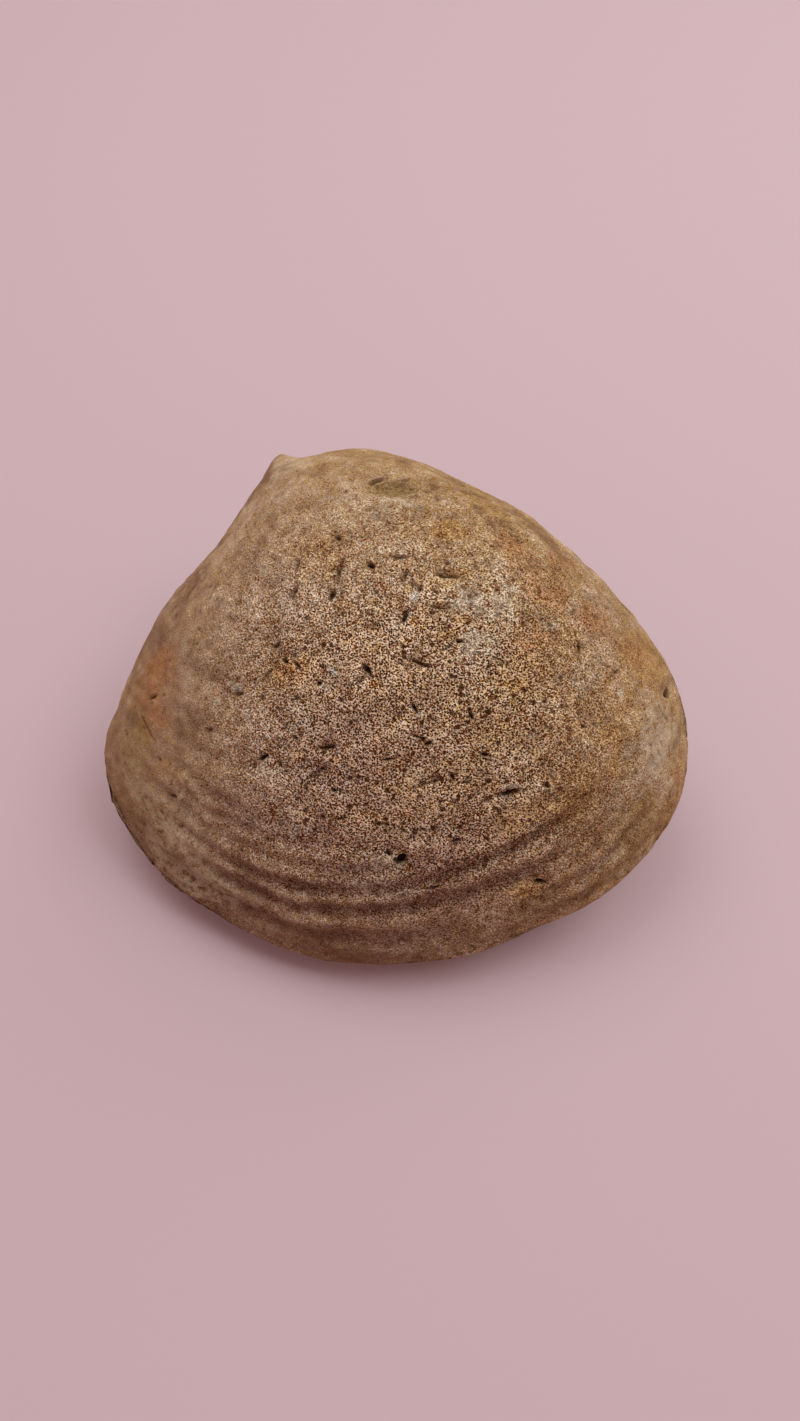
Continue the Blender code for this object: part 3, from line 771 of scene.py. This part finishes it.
def sand(bench, spot, patchy, clump, fleck, open_grain):
    """Brown sand with golden and grey flecks, darker in its hollows and paler on its lumps: partly dirt and
    wear, partly painted shade and painted highlight on the fine relief.
    """
    broad = bench.noise(spot, 0.12, 3.0, 0.55)
    base = bench.mix(bench.layer("warm"), SAND_FRONT, SAND_REAR)
    base = bench.mix(bench.step(broad, 0.36, 0.64) * 0.5, base, SAND_LIGHT)
    base = bench.mix(bench.step(patchy, 0.46, 0.66) * 0.4, base, SAND_DULL)
    base = bench.mix(bench.step(fleck, 0.50, 0.72) * 0.56, base, FLECK_GOLD)
    base = bench.mix(bench.step(fleck, 0.48, 0.28) * 0.40, base, FLECK_GREY)
    low = bench.layer("low") + (clump - 0.5) * 0.5
    uneven = 0.62 - open_grain * 0.30
    # Painted shade in the hollows and painted highlight on the lumps of the fine relief, partly dirt and wear
    # too
    base = bench.mix(bench.step(low, 0.52, 0.88) * uneven, base, HOLLOW_BROWN_AND_SHADE)
    return bench.mix(bench.step(low, 0.52, 0.18) * uneven, base, LUMP_PALE_AND_HIGHLIGHT)


def stained(bench, base, chalk_and_light, patchy, clump):
    """The growth bands and furrows with their painted shade, the stains, some with painted light and shade in
    them, and the seam, over the sand.
    """
    # Growth bands: brown, darkest along the deeper streaks, partly painted shade in them
    base = bench.mix(bench.layer("band") * 0.52, base, BAND_BROWN_AND_SHADE)
    base = bench.mix(bench.layer("ochre") * bench.step(clump, 0.24, 0.56), base, OCHRE_BROWN)
    base = bench.mix(bench.layer("rust") * bench.step(patchy, 0.26, 0.56) * 0.8, base, RUST_BROWN)
    # Olive patches, with painted shade in the dent by the hinge among them
    base = bench.mix(bench.layer("olive_and_shade") * 0.8, base, OLIVE_AND_SHADE_BROWN)
    # Chalky patches, with painted light on the lower front-left rim and a painted highlight along a ridge
    # among them
    base = bench.mix(chalk_and_light * 0.8, base, CHALK_AND_LIGHT_BUFF)
    base = bench.mix(bench.step(chalk_and_light, 0.52, 0.92) * 0.8, base, CHALK_AND_LIGHT_WHITE)
    base = bench.mix(bench.layer("umber") * bench.step(clump, 0.26, 0.56) * 0.8, base, UMBER_BROWN)
    # Painted shade, partly the furrows' own purple-brown: darkens the growth furrows and a band along the
    # front of the rim
    base = bench.mix(bench.layer("furrow") * 0.64, base, FURROW_BROWN_AND_SHADE)
    return bench.mix(bench.layer("seam") * 0.20, base, SEAM_BUFF)


def grained(bench, base, grit, open_grain):
    """Pale and dark grains, strongest where the grain is open."""
    base = bench.multiply(base, bench.mix(open_grain, CLOSED_GRAIN, OPEN_GRAIN))
    base = bench.mix(bench.step(grit, 0.0, 1.4), base, bench.multiply(base, PALE_GRAIN))
    return bench.mix(bench.step(grit * -1.0, 0.0, 1.2), base, bench.multiply(base, DARK_GRAIN))


def sandstone():
    """Brown sandstone: pale and dark grains with open pores, pocks, slits and pits, their darkness painted
    shade, and stained.
    """
    bench = Bench("sandstone")
    spot = bench.place()
    patchy = bench.noise(spot, 0.50, 3.0, 0.6)
    clump = bench.noise(spot, 1.3, 2.0, 0.6)
    fine = bench.noise(spot, 7.0, 0.0)
    fleck = bench.noise(spot, 2.2, 2.0, 0.6)
    far, chance = bench.cells(spot, 4.8)
    open_grain = bench.layer("open")
    worn = (open_grain * 1.3 - 0.1).clipped()
    chalk_and_light = bench.layer("chalk_and_light") * bench.step(clump, 0.20, 0.56)

    base = sand(bench, spot, patchy, clump, fleck, open_grain)
    base = stained(bench, base, chalk_and_light, patchy, clump)
    grit = ((fine - 0.5) * 8.6 + (chance - 0.5) * 1.6 + open_grain * 0.55) * open_grain
    grit = grit + ((clump - 0.5) * 4.2 + (patchy - 0.5) * 2.2) * (open_grain * 0.60 + 0.30)
    base = grained(bench, base, grit, open_grain)

    # Painted shade in the open pores, pocks and slits, which the bump also sinks
    pore = bench.step(0.38 + (chance - 0.5) * 0.30 - far, -0.07, 0.07) * worn
    base = bench.mix(pore * 0.95, base, PORE_SHADE)
    base = bench.mix(bench.step(chalk_and_light, 0.16, 0.80) * 0.50, base, CHALK_AND_LIGHT_POWDER)
    hole, size = bench.cells(spot, 1.25)
    pock = size * 0.34 + (fine - 0.5) * 0.30 + (fleck - 0.5) * 0.30 - 0.04 - hole
    pock = bench.step(pock, -0.05, 0.05) * worn
    base = bench.mix(pock * 0.90, base, POCK_SHADE)
    vein = bench.noise(spot, 0.85, 3.0, 0.6)
    where = bench.noise(spot, 0.55, 2.0, 0.6)
    slit = bench.step(vein, 0.482, 0.496) * bench.step(vein, 0.518, 0.504)
    slit = slit * bench.step(where, 0.47, 0.56) * (open_grain * 1.2 - 0.1).clipped()
    base = bench.mix(slit * 0.70, base, SLIT_SHADE)
    # Painted shade in the carved pits, darker for deeper pits, with a softer ring round each
    mark = bench.layer("pit") * 2.0 - 1.0 + (fine - 0.5) * 0.6 + (clump - 0.5) * 0.7
    base = bench.mix(bench.step(mark, -0.25, 0.25) * 0.40, base, PIT_EDGE_SHADE)
    base = bench.mix(bench.step(mark, 0.15, 0.60) * 0.90, base, PIT_SHADE)
    bench.feed(bench.shader.inputs["Base Color"], base)

    rise = grit * 0.5 - pore * 1.2 - slit * 2.0 - pock * 2.4
    bump = bench.node("ShaderNodeBump", None, {"Strength": 0.6, "Distance": 0.00010, "Height": rise})
    bench.feed(bench.shader.inputs["Normal"], bump)
    bench.shader.inputs["Roughness"].default_value = 0.92
    bench.shader.inputs["Specular IOR Level"].default_value = 0.03
    return bench.material


# Table: its colour, as linear light
TABLE_PINK = (0.60, 0.44, 0.45, 1.0)


def table_top():
    """Smooth pale pink table."""
    bench = Bench("table_top")
    bench.shader.inputs["Base Color"].default_value = TABLE_PINK
    bench.shader.inputs["Roughness"].default_value = 0.75
    bench.shader.inputs["Specular IOR Level"].default_value = 0.2
    return bench.material


# ---------------------------------------------------------------- stage

# Table: half of its side in metres
TABLE_REACH = 3.0

# Every lamp is a cool soft disk: size, tint and the point it faces
LAMP_SIZE = 0.30
LAMP_TONE = (0.8, 0.92, 0.96)
LAMP_TARGET = (0.0, 0.0, 0.01)

# Room: colour and strength of the light from all round
ROOM_PINK = (1.0, 0.7, 0.7, 1.0)
ROOM_STRENGTH = 0.45

# Camera: sensor and lens in millimetres, place in metres, and its tilt from straight down in degrees
SENSOR = 36.0
LENS = 24.96
CAMERA_PLACE = (0.0011, -0.0510, 0.0987)
CAMERA_TILT = 30.0


def lay_table():
    bm = bmesh.new()
    bmesh.ops.create_grid(bm, x_segments=1, y_segments=1, size=TABLE_REACH)
    mesh = bpy.data.meshes.new("table")
    bm.to_mesh(mesh)
    bm.free()
    table = bpy.data.objects.new("table", mesh)
    mesh.materials.append(table_top())
    bpy.context.scene.collection.objects.link(table)


def aim(thing, target):
    way = Vector(target) - thing.location
    thing.rotation_euler = way.to_track_quat("-Z", "Y").to_euler()


def lamp(name, place, power):
    data = bpy.data.lights.new(name, "AREA")
    data.shape = "DISK"
    data.size = LAMP_SIZE
    data.energy = power
    data.color = LAMP_TONE
    made = bpy.data.objects.new(name, data)
    made.location = place
    aim(made, LAMP_TARGET)
    bpy.context.scene.collection.objects.link(made)


def set_lights():
    """A soft overhead lamp, soft lamps to its left and right, a lower one far right, in a pinkish room."""
    lamp("overhead", (0.03, 0.14, 0.48), 0.4)
    lamp("left", (-0.15, 0.20, 0.45), 0.7)
    lamp("right", (0.25, 0.05, 0.42), 0.8)
    lamp("far right", (0.30, 0.30, 0.30), 0.4)
    world = bpy.data.worlds.new("room")
    world.use_nodes = True
    world.node_tree.nodes["Background"].inputs["Color"].default_value = ROOM_PINK
    world.node_tree.nodes["Background"].inputs["Strength"].default_value = ROOM_STRENGTH
    bpy.context.scene.world = world
    bpy.context.scene.view_settings.view_transform = "Standard"


def set_camera():
    """Looks down at sixty degrees from about ten centimetres."""
    data = bpy.data.cameras.new("camera")
    data.sensor_width = SENSOR
    data.lens = LENS
    data.clip_start = 0.001
    camera = bpy.data.objects.new("camera", data)
    camera.location = CAMERA_PLACE
    camera.rotation_euler = (math.radians(CAMERA_TILT), 0.0, 0.0)
    bpy.context.scene.collection.objects.link(camera)
    bpy.context.scene.camera = camera


stone = carved_stone()
stone.data.materials.append(sandstone())
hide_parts("fossil_bivalve")
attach(stone, "root")
lay_table()
set_lights()
set_camera()
